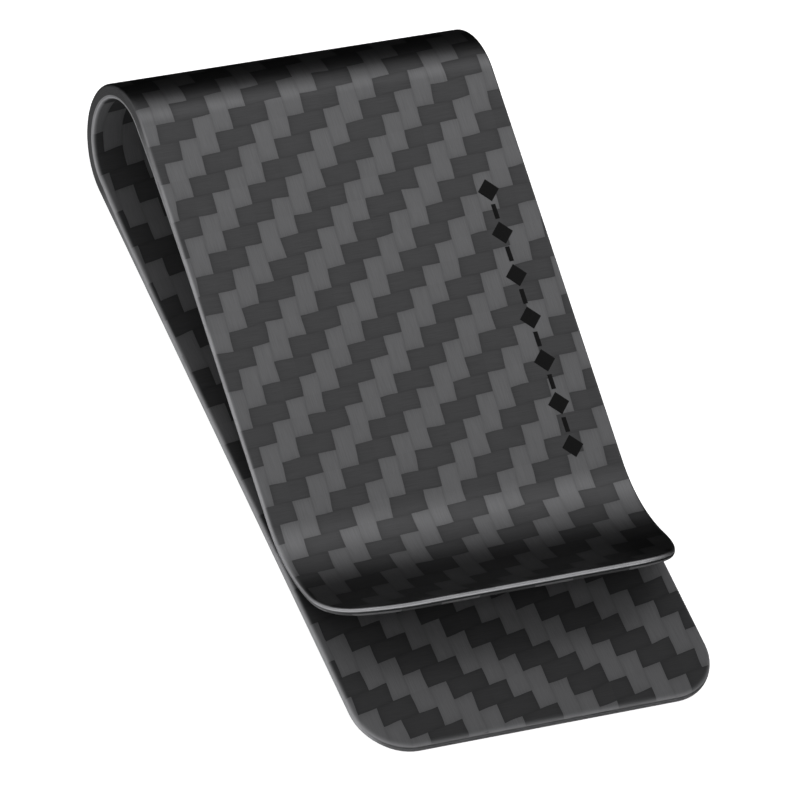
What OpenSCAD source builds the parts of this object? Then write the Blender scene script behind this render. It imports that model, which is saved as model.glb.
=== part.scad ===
// Money clip: a teardrop spring clip moulded from carbon fibre laminate.
//
// A flat base leg turns through a round bow into a clamp leg, which closes
// down onto the base and ends in an upturned lip. The laminate is a stack of
// cured plies, thickened round the bow by short reinforcement plies.
//
// Frame: +Z up, the base leg lies on z = 0, the bow is at +Y and the jaw
// opens at -Y. The origin is the middle of the footprint.
//
// Two rigid bodies stand for the springing strip: every ply is parted at the
// crown of the bow, where the flexing is gathered into one sprung hinge.

/* [Overall] */
// Overall length, from the crown of the bow to the tip of the base leg
clip_l = 77.2; // [72:0.1:90]
// Width of the strip
clip_w = 40; // [24:0.5:50]
// Outer radius of the bow, half the height of the clip
bow_r = 6.75; // [6:0.05:8]

/* [Clamp leg] */
// Gap left between the closed clamp leg and the base leg
jaw_gap = 0.12; // [0.1:0.02:3]
// Length of the straight part of the clamp leg
clamp_l = 42.9; // [38:0.1:46]
// Radius of the outer face where the leg turns up into the lip
flare_r = 13.8; // [10:0.1:14]
// Slope of the lip above the horizontal, degrees
lip_angle = 50; // [30:1:60]
// Length of the straight end of the lip
lip_l = 2.1; // [1:0.1:4]

/* [Corners] */
// Corner radius at the tip of the base leg
tip_corner_r = 5.5; // [2:0.5:10]
// Corner radius at the end of the lip
lip_corner_r = 8; // [2:0.5:10]

/* [Laminate] */
// Thickness of each twill ply on the outer and inner faces
face_ply_t = 0.25; // [0.2:0.01:0.26]
// Thickness of each straight-fibre ply in the core and the bow
core_ply_t = 0.175; // [0.12:0.005:0.18]
// How far each bow ply runs on past the bow, from the longest to the shortest
bow_ply_ends = [17, 10, 5, 2];
// Slit between the two halves of each ply at the crown of the bow
crown_slit = 0.2; // [0.16:0.02:0.4]

/* [Printed mark] */
// Length of the printed mark along the clamp leg
mark_l = 30.3; // [10:0.1:34]
// Width of its lozenges
mark_w = 2.4; // [1:0.1:4]
// Distance of its middle from the centre line of the clip
mark_x = 15; // [-17:0.5:17]
// Distance of its middle from the bow, along the leg
mark_d = 26.6; // [20:0.1:27]
// Number of lozenges
mark_count = 7; // [2:1:9]
// Thickness of the ink
ink_t = 0.03; // [0.02:0.01:0.05]

/* [Hidden] */
$fn = 96;

// Depths of the ply faces below the outer face, through the thick bow
bow_plies = len(bow_ply_ends);
outer_core_h = face_ply_t;
bow_ply_h = outer_core_h + core_ply_t;
inner_core_h = bow_ply_h + bow_plies * core_ply_t;
inner_face_h = inner_core_h + core_ply_t;

// Thickness of either leg past the ends of the bow plies
leg_t = 2 * (face_ply_t + core_ply_t);

// The bow's axis, and the length of the straight base leg
bow_y = clip_l / 2 - bow_r;
base_l = clip_l - bow_r;

// Angle between the legs that brings the low point of the flare down to
// jaw_gap above the base leg
flare_axis_r = norm([bow_r + flare_r, clamp_l]);
flare_axis_drop = 2 * leg_t + jaw_gap + flare_r - bow_r;
jaw_angle = acos(flare_axis_drop / flare_axis_r) - atan2(clamp_l, bow_r + flare_r);
flare_turn = jaw_angle + lip_angle;

// Room that the cutting solids leave round what they cut
slack = 1;
// Height of a corner cutter, either side of the laminate
cutter_h = 8;

outer_face_colour = [0.15, 0.15, 0.16];
inner_face_colour = [0.13, 0.13, 0.14];
core_colour = [0.09, 0.09, 0.10];
bow_ply_colour = [0.20, 0.20, 0.21];
ink_colour = [0.02, 0.02, 0.02];

// ---- Half frames: x across the strip, y along the leg away from the bow,
// ---- z into the laminate from its outer face, origin where the bow starts.

module base_half() {
    translate([0, bow_y, 0]) mirror([0, 1, 0]) children();
}

module clamp_half() {
    translate([0, bow_y, bow_r])
        rotate([jaw_angle, 0, 0])
            translate([0, 0, bow_r])
                rotate([180, 0, 0]) children();
}

// Top of the tapering bow plies at each end of a step, as [distance, height]
function taper(h) = [
    [0, h + bow_plies * core_ply_t],
    for (i = [bow_plies - 1 : -1 : 0]) [bow_ply_ends[i], h + i * core_ply_t]
];

// A profile of [distance, depth] points, pushed across the full width
module across() {
    translate([-clip_w / 2, 0, 0])
        rotate([90, 0, 90]) linear_extrude(clip_w) children();
}

// Round part of a ply: depth h to h + t of the bow, through angle turn
module bow_sector(h, t, turn) {
    translate([0, 0, bow_r])
        mirror([0, 1, 0]) rotate([0, 90, 0])
            rotate_extrude(angle = turn)
                translate([bow_r - h - t, -clip_w / 2]) square([t, clip_w]);
}

// Straight part of a ply that lies outside the bow plies
module flat_leg(h, t, leg_l) {
    translate([-clip_w / 2, 0, h]) cube([clip_w, leg_l, t]);
}

// Straight part of a ply that comes down over the ends of the bow plies
module stepped_leg(h, t, leg_l) {
    under = concat(taper(h), [[leg_l, h]]);
    over = [for (i = [len(under) - 1 : -1 : 0]) [under[i][0], under[i][1] + t]];
    across() polygon(concat(under, over));
}

// Feathered end of bow ply i, which thins out between the ends of plies
// i + 1 and i
module feathered_end(i) {
    h = bow_ply_h + i * core_ply_t;
    short = i + 1 < bow_plies ? bow_ply_ends[i + 1] : 0;
    across() polygon([
        [0, h], [bow_ply_ends[i], h], [short, h + core_ply_t],
        if (short > 0) [0, h + core_ply_t]
    ]);
}

// Upturned lip of the clamp leg: the flare, then its straight end
module lip(h, t) {
    translate([0, clamp_l, -flare_r]) {
        rotate([0, -90, 0])
            rotate_extrude(angle = flare_turn)
                translate([flare_r + h, -clip_w / 2]) square([t, clip_w]);
        rotate([-flare_turn, 0, 0])
            translate([-clip_w / 2, 0, flare_r + h]) cube([clip_w, lip_l, t]);
    }
}

// What a rounded corner of radius r takes off both corners of a leg that
// ends at y = 0
module corner_cutters(r) {
    for (side = [0, 1]) mirror([side, 0, 0])
        translate([clip_w / 2 - r, -r, -cutter_h / 2]) difference() {
            cube([r + slack, r + slack, cutter_h]);
            translate([0, 0, -slack]) cylinder(r = r, h = cutter_h + 2 * slack);
        }
}

module rounded_tip() {
    difference() {
        children();
        translate([0, base_l, 0]) corner_cutters(tip_corner_r);
    }
}

module rounded_lip() {
    difference() {
        children();
        translate([0, clamp_l, -flare_r])
            rotate([-flare_turn, 0, 0])
                translate([0, lip_l, flare_r]) corner_cutters(lip_corner_r);
    }
}

// Parts the two halves of a ply at the crown of the bow
module parted_at_crown() {
    difference() {
        children();
        translate([-clip_w / 2 - slack, bow_y, bow_r - crown_slit / 2])
            cube([clip_w + 2 * slack, bow_r + slack, crown_slit]);
    }
}

// ---- Plies of the base body

module base_bow_sector(h, t) {
    bow_sector(h, t, 90);
}

module base_flat_ply(h, t) {
    parted_at_crown() base_half() {
        base_bow_sector(h, t);
        rounded_tip() flat_leg(h, t, base_l);
    }
}

module base_stepped_ply(bow_h, leg_h, t) {
    parted_at_crown() base_half() {
        base_bow_sector(bow_h, t);
        rounded_tip() stepped_leg(leg_h, t, base_l);
    }
}

module base_outer_face_ply() {
    color(outer_face_colour) base_flat_ply(0, face_ply_t);
}

module base_outer_core_ply() {
    color(core_colour) base_flat_ply(outer_core_h, core_ply_t);
}

module base_bow_ply(i) {
    color(bow_ply_colour) parted_at_crown() base_half() {
        base_bow_sector(bow_ply_h + i * core_ply_t, core_ply_t);
        feathered_end(i);
    }
}

module base_inner_core_ply() {
    color(core_colour) base_stepped_ply(inner_core_h, bow_ply_h, core_ply_t);
}

module base_inner_face_ply() {
    color(inner_face_colour)
        base_stepped_ply(inner_face_h, bow_ply_h + core_ply_t, face_ply_t);
}

// ---- Plies of the clamp body

module clamp_bow_sector(h, t) {
    bow_sector(h, t, 90 + jaw_angle);
}

module clamp_flat_ply(h, t) {
    parted_at_crown() clamp_half() {
        clamp_bow_sector(h, t);
        flat_leg(h, t, clamp_l);
        rounded_lip() lip(h, t);
    }
}

module clamp_stepped_ply(bow_h, leg_h, t) {
    parted_at_crown() clamp_half() {
        clamp_bow_sector(bow_h, t);
        stepped_leg(leg_h, t, clamp_l);
        rounded_lip() lip(leg_h, t);
    }
}

module clamp_outer_face_ply() {
    color(outer_face_colour) clamp_flat_ply(0, face_ply_t);
}

module clamp_outer_core_ply() {
    color(core_colour) clamp_flat_ply(outer_core_h, core_ply_t);
}

module clamp_bow_ply(i) {
    color(bow_ply_colour) parted_at_crown() clamp_half() {
        clamp_bow_sector(bow_ply_h + i * core_ply_t, core_ply_t);
        feathered_end(i);
    }
}

module clamp_inner_core_ply() {
    color(core_colour) clamp_stepped_ply(inner_core_h, bow_ply_h, core_ply_t);
}

module clamp_inner_face_ply() {
    color(inner_face_colour)
        clamp_stepped_ply(inner_face_h, bow_ply_h + core_ply_t, face_ply_t);
}

// ---- Printed mark: a line of lozenges with a dash between each two

module printed_mark() {
    pitch = (mark_l - mark_w) / (mark_count - 1);
    dash_l = (pitch - mark_w) * 0.7;
    dash_w = mark_w / 5;
    color(ink_colour) clamp_half()
        translate([mark_x, mark_d, -ink_t])
            for (i = [0 : mark_count - 1])
                translate([0, (i - (mark_count - 1) / 2) * pitch, 0]) {
                    rotate([0, 0, 45])
                        translate([-mark_w / 2 * sqrt(0.5), -mark_w / 2 * sqrt(0.5), 0])
                            cube([mark_w * sqrt(0.5), mark_w * sqrt(0.5), ink_t]);
                    if (i > 0)
                        translate([-dash_w / 2, -(pitch + dash_l) / 2, 0])
                            cube([dash_w, dash_l, ink_t]);
                }
}

base_outer_face_ply();
base_outer_core_ply();
base_bow_ply(0);  // base_bow_ply_1
base_bow_ply(1);  // base_bow_ply_2
base_bow_ply(2);  // base_bow_ply_3
base_bow_ply(3);  // base_bow_ply_4
base_inner_core_ply();
base_inner_face_ply();
clamp_outer_face_ply();
clamp_outer_core_ply();
clamp_bow_ply(0);  // clamp_bow_ply_1
clamp_bow_ply(1);  // clamp_bow_ply_2
clamp_bow_ply(2);  // clamp_bow_ply_3
clamp_bow_ply(3);  // clamp_bow_ply_4
clamp_inner_core_ply();
clamp_inner_face_ply();
printed_mark();
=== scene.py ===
"""Money clip: a teardrop spring clip moulded from carbon fibre laminate.

The CAD model is the frame. Each ply of the laminate is built again here as a closed
mesh with rounded cut edges, in up to three lengths: one rides on the base, one on the
clamp, and one runs round the bow between them. Everything is in metres.
"""
import math
from collections import namedtuple

import bpy
import numpy as np
from mathutils import Matrix, Vector


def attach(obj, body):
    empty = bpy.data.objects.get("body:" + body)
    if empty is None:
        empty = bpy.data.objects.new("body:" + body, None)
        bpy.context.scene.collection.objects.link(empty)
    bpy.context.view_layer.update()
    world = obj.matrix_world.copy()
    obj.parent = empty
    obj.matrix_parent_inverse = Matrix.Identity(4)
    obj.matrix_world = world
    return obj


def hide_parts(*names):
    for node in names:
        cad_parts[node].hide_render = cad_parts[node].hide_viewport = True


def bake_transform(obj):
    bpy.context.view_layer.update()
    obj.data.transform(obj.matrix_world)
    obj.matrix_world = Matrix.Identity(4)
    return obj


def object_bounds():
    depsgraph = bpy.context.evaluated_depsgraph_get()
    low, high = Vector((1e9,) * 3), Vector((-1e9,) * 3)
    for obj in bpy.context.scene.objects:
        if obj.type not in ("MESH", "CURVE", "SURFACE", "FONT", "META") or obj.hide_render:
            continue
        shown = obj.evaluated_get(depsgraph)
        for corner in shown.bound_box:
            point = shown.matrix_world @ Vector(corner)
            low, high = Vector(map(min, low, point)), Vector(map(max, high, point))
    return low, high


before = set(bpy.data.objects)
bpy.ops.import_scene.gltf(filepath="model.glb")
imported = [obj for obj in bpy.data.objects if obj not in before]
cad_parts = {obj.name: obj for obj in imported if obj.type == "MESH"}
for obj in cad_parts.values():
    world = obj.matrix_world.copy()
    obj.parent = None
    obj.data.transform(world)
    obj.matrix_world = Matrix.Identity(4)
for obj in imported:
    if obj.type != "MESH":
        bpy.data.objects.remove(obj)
cad_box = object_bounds()

MM = 0.001

# ---------------------------------------------------------------- sizes of the clip

# The laminate, as in the CAD model
FACE_T = 0.25 * MM
CORE_T = 0.175 * MM
BOW_PLY_ENDS = [17 * MM, 10 * MM, 5 * MM, 2 * MM]
LEG_T = 2 * (FACE_T + CORE_T)

# The clamp leg and its lip, as in the CAD model
CLAMP_L = 42.9 * MM
JAW_GAP = 0.12 * MM
FLARE_R = 13.8 * MM
LIP_ANGLE = math.radians(50)
LIP_L = 2.1 * MM
TIP_CORNER_R = 5.5 * MM
LIP_CORNER_R = 8 * MM

# What follows from the CAD model's box
LOW, HIGH = cad_box
HALF_W = (HIGH.x - LOW.x) / 2
BOW_R = HIGH.z / 2
BOW_Y = HIGH.y - BOW_R
BASE_L = BOW_Y - LOW.y
JAW_ANGLE = (math.acos((2 * LEG_T + JAW_GAP + FLARE_R - BOW_R) / math.hypot(BOW_R + FLARE_R, CLAMP_L))
             - math.atan2(CLAMP_L, BOW_R + FLARE_R))
BOW_TURN = math.pi + JAW_ANGLE
FLARE_TURN = JAW_ANGLE + LIP_ANGLE

# Distances along the outer face, from the tip of the base leg to the end of the lip
BOW_START = BASE_L
BOW_END = BOW_START + BOW_R * BOW_TURN
FLARE_START = BOW_END + CLAMP_L
FLARE_END = FLARE_START + FLARE_R * FLARE_TURN
PATH_END = FLARE_END + LIP_L

# How far past the bow the bow length of each ply runs on into the straight legs
SEAM = 3 * MM

# The cut edges are sanded round. On the end of the base leg most of the rounding is on
# the inner face.
SIDE_OUTER_R = 0.3 * MM
SIDE_INNER_R = 0.42 * MM
TIP_INNER_R = 0.72 * MM
# Depth of the fine groove where two plies meet on a cut edge
GROOVE = 0.018 * MM
# The bow plies taper out to this thickness at their ends
FEATHER_T = 0.004 * MM
# A straight length shorter than this is left out, where a bow ply ends inside the bow length
SHORTEST = 0.5 * MM

# ---------------------------------------------------------------- path of the strip


def outer_point(s):
    """Point (y, z) of the outer face at distance s, and the direction into the laminate."""
    if s <= BOW_START:
        return (BOW_Y - (BOW_START - s), 0.0), (0.0, 1.0)
    if s <= BOW_END:
        a = (s - BOW_START) / BOW_R
        into = (-math.sin(a), math.cos(a))
        return (BOW_Y - BOW_R * into[0], BOW_R - BOW_R * into[1]), into
    into = (-math.sin(BOW_TURN), math.cos(BOW_TURN))
    along = (math.cos(BOW_TURN), math.sin(BOW_TURN))
    start = (BOW_Y - BOW_R * into[0], BOW_R - BOW_R * into[1])
    if s <= FLARE_START:
        d = s - BOW_END
        return (start[0] + d * along[0], start[1] + d * along[1]), into
    turned = min(s - FLARE_START, FLARE_END - FLARE_START) / FLARE_R
    heading = BOW_TURN - turned
    axis = (start[0] + CLAMP_L * along[0] - FLARE_R * into[0],
            start[1] + CLAMP_L * along[1] - FLARE_R * into[1])
    into = (-math.sin(heading), math.cos(heading))
    past = max(0.0, s - FLARE_END)
    return (axis[0] + FLARE_R * into[0] + past * math.cos(heading),
            axis[1] + FLARE_R * into[1] + past * math.sin(heading)), into


def past_bow(s):
    """How far s lies from the bow, on either leg."""
    return max(0.0, BOW_START - s, s - BOW_END)


def bow_ply_height(s):
    """Thickness of the bow plies at s, which drops by one ply at each ply's end."""
    ends = [0.0] + BOW_PLY_ENDS[::-1]
    heights = [CORE_T * n for n in range(len(BOW_PLY_ENDS), -1, -1)]
    return float(np.interp(past_bow(s), ends, heights))


def spaced(start, end, step):
    """Points from start to end, evenly spaced and no more than step apart."""
    return list(np.linspace(start, end, max(2, math.ceil((end - start) / step - 1e-6) + 1)))


def corner_rows(radius, count=14):
    """Distances from an end at which a rounded corner is sampled, evenly round its arc."""
    return [radius * (1 - math.cos(math.pi / 2 * i / count)) for i in range(count + 1)]


def path_rows():
    """Every distance at which the plies have a row of vertices."""
    rows = corner_rows(TIP_CORNER_R)
    rows += spaced(TIP_CORNER_R, BOW_START - SEAM, 4 * MM)
    rows += [BOW_START - e for e in BOW_PLY_ENDS] + [BOW_END + e for e in BOW_PLY_ENDS]
    rows += spaced(BOW_START - SEAM, BOW_START, 1 * MM)
    rows += spaced(BOW_START, BOW_END, BOW_R * math.radians(2.5))
    rows += spaced(BOW_END, BOW_END + SEAM, 1 * MM)
    rows += spaced(BOW_END + SEAM, FLARE_START, 4 * MM)
    rows += spaced(FLARE_START, FLARE_END, FLARE_R * math.radians(2))
    rows += [PATH_END - r for r in corner_rows(LIP_CORNER_R)]
    kept = []
    for s in sorted(rows):
        if not kept or s - kept[-1] > 0.02 * MM:
            kept.append(s)
    kept[-1] = PATH_END
    return kept


ROWS = path_rows()


def surface_lengths(depth_at):
    """Length along the surface at depth_at(s), from the tip of the base leg to each row."""
    points = []
    for s in ROWS:
        (y, z), into = outer_point(s)
        points.append((y + into[0] * depth_at(s), z + into[1] * depth_at(s)))
    steps = np.linalg.norm(np.diff(np.array(points), axis=0), axis=1)
    return dict(zip(ROWS, np.concatenate([[0.0], np.cumsum(steps)])))


# ---------------------------------------------------------------- plies


def edge_rounding(s, depth, near_tip):
    """How far the rounded cut edge stands back from the outline at a depth, and how far
    round the edge that is: 0 where the rounding starts and 1 on its outermost line.
    near_tip runs from 0 on the sides to 1 on the end of the base leg."""
    thickness = LEG_T + bow_ply_height(s)
    inner_r = SIDE_INNER_R + (TIP_INNER_R - SIDE_INNER_R) * near_tip
    outer_r = min(SIDE_OUTER_R, thickness - inner_r)
    if depth < outer_r:
        radius, height = outer_r, outer_r - depth
    else:
        radius, height = inner_r, max(0.0, depth - (thickness - inner_r))
    return radius - math.sqrt(max(0.0, radius ** 2 - height ** 2)), 1 - height / radius


def edge_paleness_and_painted_light(s, depth):
    """How pale a cut edge is painted. The two inner plies are pale as far as the flare and fade
    along it, and the rest are darker where the bow plies thicken the laminate. The paleness of
    cut fibres is the edge's own; its rise and fall along the clip is painted highlight and painted
    shade."""
    thickening = bow_ply_height(s)
    if LEG_T + thickening - depth <= FACE_T + CORE_T + 0.001 * MM:
        along_flare = (s - FLARE_START) / (FLARE_END - FLARE_START)
        return 1 - 0.85 * max(0.0, min(1.0, along_flare))
    return 1 - 0.8 * thickening / (len(BOW_PLY_ENDS) * CORE_T)


def half_width(s, inset):
    """Half the strip's width at s, inside an outline drawn inset from the true one."""
    for gap, radius in ((s, TIP_CORNER_R), (PATH_END - s, LIP_CORNER_R)):
        if gap < radius:
            turn = math.acos(max(0.0, min(1.0, 1 - gap / radius)))
            return HALF_W - radius + (radius - inset) * math.sin(turn)
    return HALF_W - inset


def inset_distance(s, inset):
    """Where row s lies along the strip, inside an outline drawn inset from the true one."""
    if s < TIP_CORNER_R:
        return TIP_CORNER_R - (TIP_CORNER_R - inset) * (1 - s / TIP_CORNER_R)
    if PATH_END - s < LIP_CORNER_R:
        return PATH_END - LIP_CORNER_R + (LIP_CORNER_R - inset) * (1 - (PATH_END - s) / LIP_CORNER_R)
    return s


def tip_share(s):
    """1 on the end of the base leg, falling to 0 where its corners meet the sides."""
    if s >= TIP_CORNER_R:
        return 0.0
    turn = math.acos(max(0.0, min(1.0, 1 - s / TIP_CORNER_R)))
    return math.cos(turn) ** 2


COLUMNS = [-1.0, -0.985, -0.7, -0.35, 0.0, 0.35, 0.7, 0.985, 1.0]


def ply_mesh(name, start, end, top_at, thickness_at, levels, lengths):
    """A closed length of one ply from start to end, as a stack of outlines.
    levels are the shares of the ply's thickness at which its cut edge has a ring."""
    rows = [s for s in ROWS if start - 1e-9 <= s <= end + 1e-9]
    vertices, uvs, pale_edge_and_painted_light, index = [], [], [], {}

    def vertex(level, row, column):
        key = (level, row, column)
        if key not in index:
            s = rows[row]
            depth = top_at(s) + thickness_at(s) * levels[level]
            grooved = GROOVE if level in (0, len(levels) - 1) else 0.0
            stand_back, round_share = edge_rounding(s, depth, tip_share(s))
            inset = stand_back + grooved
            at = inset_distance(s, inset)
            x = half_width(s, inset) * COLUMNS[column]
            (y, z), into = outer_point(at)
            index[key] = len(vertices)
            vertices.append((x, y + into[0] * depth, z + into[1] * depth))
            uvs.append((x, lengths[s] + (at - s)))
            # Paleness painted on the cut edge: pale cut fibres, with painted highlight and painted
            # shade
            pale_edge_and_painted_light.append(round_share * edge_paleness_and_painted_light(s, depth))
        return index[key]

    last_row, last_column, last_level = len(rows) - 1, len(COLUMNS) - 1, len(levels) - 1
    faces = []
    for level in (0, last_level):
        for row in range(last_row):
            for column in range(last_column):
                quad = [vertex(level, row, column), vertex(level, row, column + 1),
                        vertex(level, row + 1, column + 1), vertex(level, row + 1, column)]
                faces.append(quad if level else quad[::-1])
    rim = [(0, c) for c in range(last_column)] + [(r, last_column) for r in range(last_row)]
    rim += [(last_row, c) for c in range(last_column, 0, -1)] + [(r, 0) for r in range(last_row, 0, -1)]
    for level in range(last_level):
        for a, b in zip(rim, rim[1:] + rim[:1]):
            faces.append([vertex(level, *a), vertex(level, *b),
                          vertex(level + 1, *b), vertex(level + 1, *a)])
    mesh = bpy.data.meshes.new(name)
    mesh.from_pydata(vertices, [], faces)
    uv_layer = mesh.uv_layers.new(name="ClothUV")
    for loop in mesh.loops:
        uv_layer.data[loop.index].uv = uvs[loop.vertex_index]
    mesh.attributes.new("pale_edge_and_painted_light", "FLOAT", "POINT").data.foreach_set("value", pale_edge_and_painted_light)
    mesh.validate()
    return mesh


def finished(name, mesh, material):
    """An object with the mesh's faces outward, smooth except at its corners."""
    mesh.materials.append(material)
    piece = bpy.data.objects.new(name, mesh)
    bpy.context.scene.collection.objects.link(piece)
    mesh.shade_smooth()
    mesh.set_sharp_from_angle(angle=math.radians(40))
    weighted = piece.modifiers.new("weighted_normals", "WEIGHTED_NORMAL")
    weighted.keep_sharp = True
    return piece


def whole_ply(name, top_at, thickness_at, reach, levels, material):
    """One ply in up to three lengths. reach is how far past the bow it runs on each leg,
    or None for a ply that runs to both ends."""
    lengths = surface_lengths(top_at)
    first = 0.0 if reach is None else BOW_START - reach
    last = PATH_END if reach is None else BOW_END + reach
    seam_1, seam_2 = max(first, BOW_START - SEAM), min(last, BOW_END + SEAM)
    spans = [("base_" + name, first, seam_1, "base"),
             ("bow_" + name, seam_1, seam_2, None),
             ("clamp_" + name, seam_2, last, "clamp")]
    for span_name, start, end, body in spans:
        if end - start < SHORTEST:
            continue
        mesh = ply_mesh(span_name, start, end, top_at, thickness_at, levels, lengths)
        piece = finished(span_name, mesh, material)
        if body:
            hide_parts(body + "_" + name)
            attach(piece, body)
        else:
            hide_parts("base_" + name, "clamp_" + name)
            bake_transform(piece)


# ---------------------------------------------------------------- materials


class Nodes:
    """Short calls for building a node tree."""

    def __init__(self, owner, shader):
        self.tree = owner.node_tree
        self.shader = self.tree.nodes[shader]

    @classmethod
    def of_material(cls, name):
        material = bpy.data.materials.new(name)
        material.use_nodes = True
        nodes = cls(material, "Principled BSDF")
        nodes.material = material
        return nodes

    @classmethod
    def of_world(cls, name):
        world = bpy.data.worlds.new(name)
        world.use_nodes = True
        bpy.context.scene.world = world
        return cls(world, "Background")

    def add(self, kind, **settings):
        node = self.tree.nodes.new(kind)
        for key, value in settings.items():
            setattr(node, key, value)
        return node

    def put(self, socket, value):
        if isinstance(value, bpy.types.NodeSocket):
            self.tree.links.new(value, socket)
        else:
            socket.default_value = value

    def calc(self, operation, *values):
        node = self.add("ShaderNodeMath", operation=operation)
        for socket, value in zip(node.inputs, values):
            self.put(socket, value)
        return node.outputs[0]

    def mix(self, share, a, b):
        """a where share is 0 and b where it is 1, for numbers."""
        node = self.add("ShaderNodeMix", data_type="FLOAT")
        self.put(node.inputs[0], share)
        self.put(node.inputs[2], a)
        self.put(node.inputs[3], b)
        return node.outputs[0]

    def mix_colour(self, share, a, b):
        node = self.add("ShaderNodeMix", data_type="RGBA")
        self.put(node.inputs[0], share)
        self.put(node.inputs[6], a)
        self.put(node.inputs[7], b)
        return node.outputs[2]

    def noise(self, vector, scale, detail=2.0, roughness=0.5):
        node = self.add("ShaderNodeTexNoise")
        self.put(node.inputs["Vector"], vector)
        self.put(node.inputs["Scale"], scale)
        self.put(node.inputs["Detail"], detail)
        self.put(node.inputs["Roughness"], roughness)
        return node.outputs["Fac"]

    def vector(self, x, y, z=0.0):
        node = self.add("ShaderNodeCombineXYZ")
        for socket, value in zip(node.inputs, (x, y, z)):
            self.put(socket, value)
        return node.outputs[0]


# Tone of fibres cut through on the edges, also used as a painted highlight on them
CUT_FIBRE_AND_HIGHLIGHT_TONE = 0.5

# One set of parallel tows, in millimetres: their pitch, how much their edges lean for each
# millimetre crosswise, and where the first edge lies
Tows = namedtuple("Tows", "pitch lean first")


def grey(value):
    return (value, value, value * 1.03, 1.0)


def cloth_place(n, scale):
    """Place on the cloth across the clip and along it, in metres times scale."""
    uv = n.add("ShaderNodeUVMap", uv_map="ClothUV")
    split = n.add("ShaderNodeSeparateXYZ")
    n.put(split.inputs[0], uv.outputs[0])
    return n.calc("MULTIPLY", split.outputs[0], scale), n.calc("MULTIPLY", split.outputs[1], scale)


def wandering(n, place, seed_place):
    """The place moved by a slow noise, so that the tow edges aren't quite straight."""
    wander = n.calc("SUBTRACT", n.noise(seed_place, 0.23, 1.0), 0.5)
    return n.calc("ADD", place, n.calc("MULTIPLY", wander, 0.5))


def in_tows(n, place, crosswise, tows):
    """The place counted in tows, with whole numbers at the edges between them."""
    leant = n.calc("ADD", place, n.calc("MULTIPLY", crosswise, tows.lean))
    return n.calc("DIVIDE", n.calc("SUBTRACT", leant, tows.first), tows.pitch)


def crown(n, share, power):
    """1 in the middle of a float, 0 at its edges."""
    off = n.calc("ABSOLUTE", n.calc("SUBTRACT", n.calc("MULTIPLY", share, 2.0), 1.0))
    return n.calc("SUBTRACT", 1.0, n.calc("POWER", off, power))


def tow_fibres(n, across, along, tow):
    """Streaks that run along each tow."""
    grain = n.vector(n.calc("MULTIPLY", across, 9.0), n.calc("MULTIPLY", along, 0.35), tow)
    return n.noise(grain, 1.0, 3.0, 0.65)


def pale_edge_and_painted_light_tone(n, face, edge):
    """The face tone, turning to the pale edge tone on a ply's cut edge: partly the pale cut fibres,
    partly painted highlight and painted shade.
    """
    pale_edge_and_painted_light = n.add("ShaderNodeAttribute", attribute_name="pale_edge_and_painted_light")
    return n.mix_colour(pale_edge_and_painted_light.outputs["Fac"], face, edge)


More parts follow.
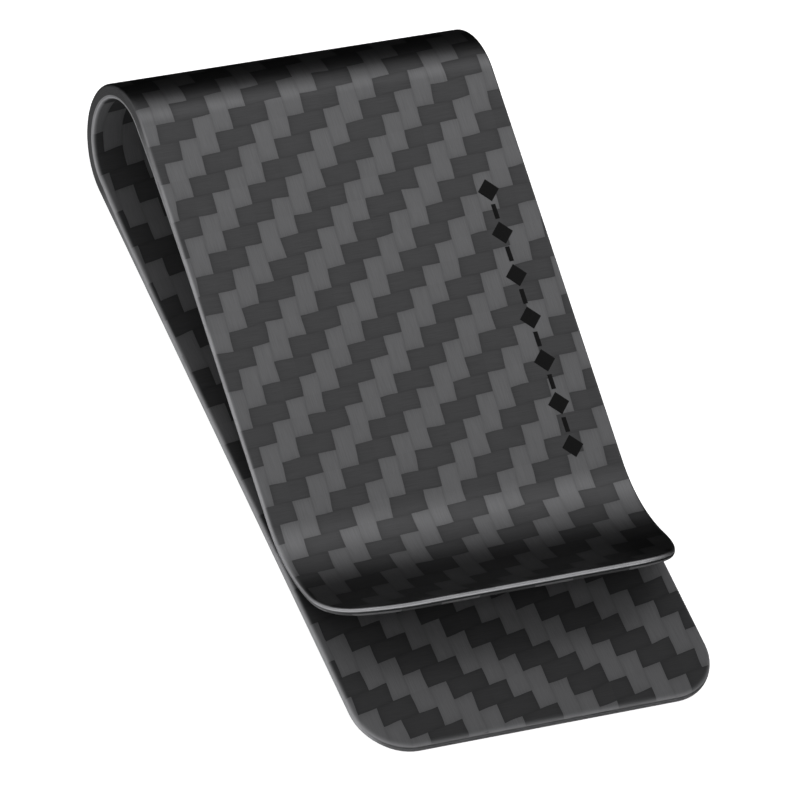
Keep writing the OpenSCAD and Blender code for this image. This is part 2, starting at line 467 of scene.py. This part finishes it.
def twill(name, light, dark, metallic, columns, rows):
    """2x2 twill of flat tows under a matte clear coat. The columns of lengthwise tows have
    the light tone, and the rows of crosswise tows the dark one. That difference is a painted sheen: the
    tows are the same fibre, and only their direction makes one lighter in the light."""
    n = Nodes.of_material(name)
    u, v = cloth_place(n, 1 / MM)
    wandered_u = wandering(n, u, n.vector(u, v))
    wandered_v = wandering(n, v, n.vector(v, u, 7.0))
    across = in_tows(n, wandered_u, v, columns)
    along = in_tows(n, wandered_v, u, rows)
    column, row = n.calc("FLOOR", across), n.calc("FLOOR", along)
    in_column, in_row = n.calc("FRACT", across), n.calc("FRACT", along)

    # Each tow runs over two and under two, one step on from its neighbour
    phase = n.calc("FLOORED_MODULO", n.calc("ADD", row, column), 4.0)
    lengthwise = n.calc("LESS_THAN", phase, 1.5)

    # Place within one float, from 0 to 1 along it and across it
    warp_along = n.calc("DIVIDE", n.calc("ADD", phase, in_row), 2.0)
    weft_along = n.calc("DIVIDE", n.calc("ADD", n.calc("SUBTRACT", phase, 2.0), in_column), 2.0)
    float_along = n.mix(lengthwise, weft_along, warp_along)
    float_across = n.mix(lengthwise, in_row, in_column)
    bulge = n.calc("MULTIPLY", crown(n, float_along, 5.0), crown(n, float_across, 6.0))
    fibres = n.mix(lengthwise, tow_fibres(n, v, u, row), tow_fibres(n, u, v, column))
    cell = n.add("ShaderNodeTexWhiteNoise", noise_dimensions="2D")
    n.put(cell.inputs[0], n.vector(column, row))

    # Painted shade: each float is lighter in its middle and darker towards its ends and edges, where it
    # dips under the crossing tows. The fibre streaks and the tone that differs from cell to cell are
    # the cloth's own.
    tone_with_painted_float_shade = n.calc("ADD", 0.80, n.calc("MULTIPLY", bulge, 0.16))
    tone_with_painted_float_shade = n.calc("ADD", tone_with_painted_float_shade, n.calc("MULTIPLY", n.calc("SUBTRACT", fibres, 0.5), 0.42))
    tone_with_painted_float_shade = n.calc("ADD", tone_with_painted_float_shade, n.calc("MULTIPLY", cell.outputs["Value"], 0.05))
    scaled = n.add("ShaderNodeVectorMath", operation="SCALE")
    # Painted sheen: the lengthwise tows take the lighter tone and the crosswise tows the darker one
    n.put(scaled.inputs[0], n.mix_colour(lengthwise, grey(dark), grey(light)))
    n.put(scaled.inputs["Scale"], tone_with_painted_float_shade)
    n.put(n.shader.inputs["Base Color"], pale_edge_and_painted_light_tone(n, scaled.outputs[0], grey(CUT_FIBRE_AND_HIGHLIGHT_TONE)))

    bump = n.add("ShaderNodeBump")
    n.put(bump.inputs["Strength"], 0.25)
    n.put(bump.inputs["Distance"], 0.04 * MM)
    relief = n.calc("ADD", n.calc("MULTIPLY", bulge, 0.5), n.calc("MULTIPLY", fibres, 0.35))
    n.put(bump.inputs["Height"], relief)
    n.put(n.shader.inputs["Normal"], bump.outputs[0])
    n.put(n.shader.inputs["Roughness"], n.calc("ADD", 0.32, n.calc("MULTIPLY", fibres, 0.06)))
    n.put(n.shader.inputs["Metallic"], metallic)
    n.put(n.shader.inputs["Specular IOR Level"], 0.0)
    return n.material


def cut_laminate(name):
    """Sealed cut edge of straight-fibre plies: fine streaks along the edge."""
    n = Nodes.of_material(name)
    u, v = cloth_place(n, 400.0)
    streak = n.noise(n.vector(u, v), 1.0, 3.0, 0.6)
    tone = n.mix_colour(streak, grey(CUT_FIBRE_AND_HIGHLIGHT_TONE * 0.7), grey(CUT_FIBRE_AND_HIGHLIGHT_TONE * 1.3))
    # Near black off the edge and the pale streaked tone on it: partly pale cut fibres, partly painted
    # highlight
    n.put(n.shader.inputs["Base Color"], pale_edge_and_painted_light_tone(n, grey(0.02), tone))
    n.put(n.shader.inputs["Roughness"], n.calc("ADD", 0.38, n.calc("MULTIPLY", streak, 0.12)))
    n.put(n.shader.inputs["Metallic"], 0.9)
    return n.material


def ink(name):
    """Matte black printing ink."""
    n = Nodes.of_material(name)
    place = n.add("ShaderNodeTexCoord")
    speckle = n.noise(place.outputs["Object"], 9000.0, 2.0)
    n.put(n.shader.inputs["Base Color"], n.mix_colour(speckle, grey(0.002), grey(0.006)))
    n.put(n.shader.inputs["Roughness"], n.calc("ADD", 0.5, n.calc("MULTIPLY", speckle, 0.15)))
    n.put(n.shader.inputs["Specular IOR Level"], 0.08)
    return n.material


# The outer cloth is laid out from the end of the bow, the inner cloth from its start
outer_cloth = twill("twill_outer", light=0.125, dark=0.058, metallic=1.0,
                    columns=Tows(2.062, 0.060, 0.060 * BOW_END / MM - 18.524),
                    rows=Tows(2.043, 0.0585, BOW_END / MM - 4.83))
# The inner cloth's tones are darker than the outer cloth's: painted shade on the inner faces, under the
# clamp and inside the loop
inner_cloth = twill("twill_inner", light=0.105, dark=0.037, metallic=0.12,
                    columns=Tows(2.104, -0.0385, -0.0385 * BOW_START / MM - 19.0),
                    rows=Tows(2.223, -0.1865, BOW_START / MM - 37.596))
core_laminate = cut_laminate("core_laminate")
bow_laminate = cut_laminate("bow_laminate")
black_ink = ink("black_ink")

# ---------------------------------------------------------------- the laminate

OUTER_FACE_LEVELS = [0.0, 0.06, 0.15, 0.28, 0.45, 0.65, 0.92, 1.0]
INNER_FACE_LEVELS = [1 - share for share in reversed(OUTER_FACE_LEVELS)]
CORE_LEVELS = [0.0, 0.12, 0.5, 0.88, 1.0]

whole_ply("outer_face_ply", lambda s: 0.0, lambda s: FACE_T, None,
          OUTER_FACE_LEVELS, outer_cloth)
whole_ply("outer_core_ply", lambda s: FACE_T, lambda s: CORE_T, None,
          CORE_LEVELS, core_laminate)
for number, reach in enumerate(BOW_PLY_ENDS):
    height = number * CORE_T
    whole_ply(f"bow_ply_{number + 1}", lambda s, h=height: FACE_T + CORE_T + h,
              lambda s, h=height: max(FEATHER_T, min(CORE_T, bow_ply_height(s) - h)), reach,
              CORE_LEVELS, bow_laminate)
whole_ply("inner_core_ply", lambda s: FACE_T + CORE_T + bow_ply_height(s), lambda s: CORE_T, None,
          CORE_LEVELS, core_laminate)
whole_ply("inner_face_ply", lambda s: FACE_T + 2 * CORE_T + bow_ply_height(s), lambda s: FACE_T, None,
          INNER_FACE_LEVELS, inner_cloth)

# ---------------------------------------------------------------- printed mark

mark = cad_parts["printed_mark"]
mark.data.materials.clear()
mark.data.materials.append(black_ink)

# ---------------------------------------------------------------- floor, light, camera


def pale_floor():
    mesh = bpy.data.meshes.new("floor")
    # A hair below the underside of the base leg, so that the two faces don't share a plane
    half, z = 3.0, -0.02 * MM
    corners = [(-half, -half, z), (half, -half, z), (half, half, z), (-half, half, z)]
    mesh.from_pydata(corners, [], [(0, 1, 2, 3)])
    floor = bpy.data.objects.new("floor", mesh)
    bpy.context.scene.collection.objects.link(floor)
    n = Nodes.of_material("floor")
    n.put(n.shader.inputs["Base Color"], (0.85, 0.85, 0.85, 1))
    n.put(n.shader.inputs["Roughness"], 0.9)
    n.put(n.shader.inputs["Emission Color"], (1, 1, 1, 1))
    n.put(n.shader.inputs["Emission Strength"], 0.8)
    mesh.materials.append(n.material)
    floor.visible_glossy = False


# The soft boxes run along X, centred a little to the +X side
LIGHT_LENGTH = 1.2
LIGHT_X = 0.1


def strip_light(name, near_edge, far_edge, radiance):
    """A soft box that runs along X over the clip, between two edges given by their (y, z).
    near_edge is the one on the -Y side."""
    (near_y, near_z), (far_y, far_z) = near_edge, far_edge
    width = math.hypot(far_y - near_y, far_z - near_z)
    light = bpy.data.lights.new(name, "AREA")
    light.shape = "RECTANGLE"
    light.size, light.size_y = LIGHT_LENGTH, width
    light.energy = radiance * math.pi * LIGHT_LENGTH * width
    lamp = bpy.data.objects.new(name, light)
    lamp.location = (LIGHT_X, (near_y + far_y) / 2, (near_z + far_z) / 2)
    lamp.rotation_euler = (math.atan2(far_z - near_z, far_y - near_y), 0, 0)
    lamp.visible_camera = False
    bpy.context.scene.collection.objects.link(lamp)


def studio_world(ambient, glows):
    """A dim room with soft glows. Each glow is a direction, the angles from it at which the
    glow starts to fade and is gone, in degrees, and its strength."""
    n = Nodes.of_world("studio")
    n.put(n.shader.inputs["Color"], (1, 1, 1, 1))
    place = n.add("ShaderNodeTexCoord")
    level = ambient
    for direction, inner, outer, strength in glows:
        aligned = n.add("ShaderNodeVectorMath", operation="DOT_PRODUCT")
        n.put(aligned.inputs[0], place.outputs["Generated"])
        n.put(aligned.inputs[1], Vector(direction).normalized())
        spread = n.add("ShaderNodeMapRange", interpolation_type="SMOOTHSTEP")
        n.put(spread.inputs["Value"], aligned.outputs["Value"])
        n.put(spread.inputs["From Min"], math.cos(math.radians(outer)))
        n.put(spread.inputs["From Max"], math.cos(math.radians(inner)))
        n.put(spread.inputs["To Max"], strength)
        level = n.calc("ADD", level, spread.outputs["Result"])
    n.put(n.shader.inputs["Strength"], level)


def camera(azimuth, elevation, roll, distance, target, focal_length):
    """A camera that looks at target from an azimuth and elevation, turned by roll."""
    a, e = math.radians(azimuth), math.radians(elevation)
    back = Vector((math.sin(a) * math.cos(e), -math.cos(a) * math.cos(e), math.sin(e)))
    level_right = Vector((0, 0, 1)).cross(back).normalized()
    level_up = back.cross(level_right)
    r = math.radians(roll)
    right = level_right * math.cos(r) + level_up * math.sin(r)
    up = back.cross(right)
    data = bpy.data.cameras.new("camera")
    data.lens = focal_length
    data.clip_start, data.clip_end = 0.01, 20
    eye = bpy.data.objects.new("camera", data)
    eye.matrix_world = Matrix((right, up, back)).transposed().to_4x4()
    eye.location = Vector(target) + back * distance
    bpy.context.scene.collection.objects.link(eye)
    bpy.context.scene.camera = eye


pale_floor()
strip_light("near", (-0.045, 0.10), (0.126, 0.10), 0.72)
strip_light("overhead", (0.10, 0.5), (0.273, 0.5), 0.95)
strip_light("front", (-0.35, 0.26), (-0.145, 0.38), 1.2)
studio_world(0.002, [((-1, 0.1, -0.1), 20, 60, 0.8), ((0.1, 0, -1), 20, 45, 0.4)])
camera(azimuth=-43.945, elevation=48.741, roll=26.05, distance=1.0757,
       target=(-0.00203, -0.00161, 0.005), focal_length=489.4)
bpy.context.scene.view_settings.view_transform = "Standard"
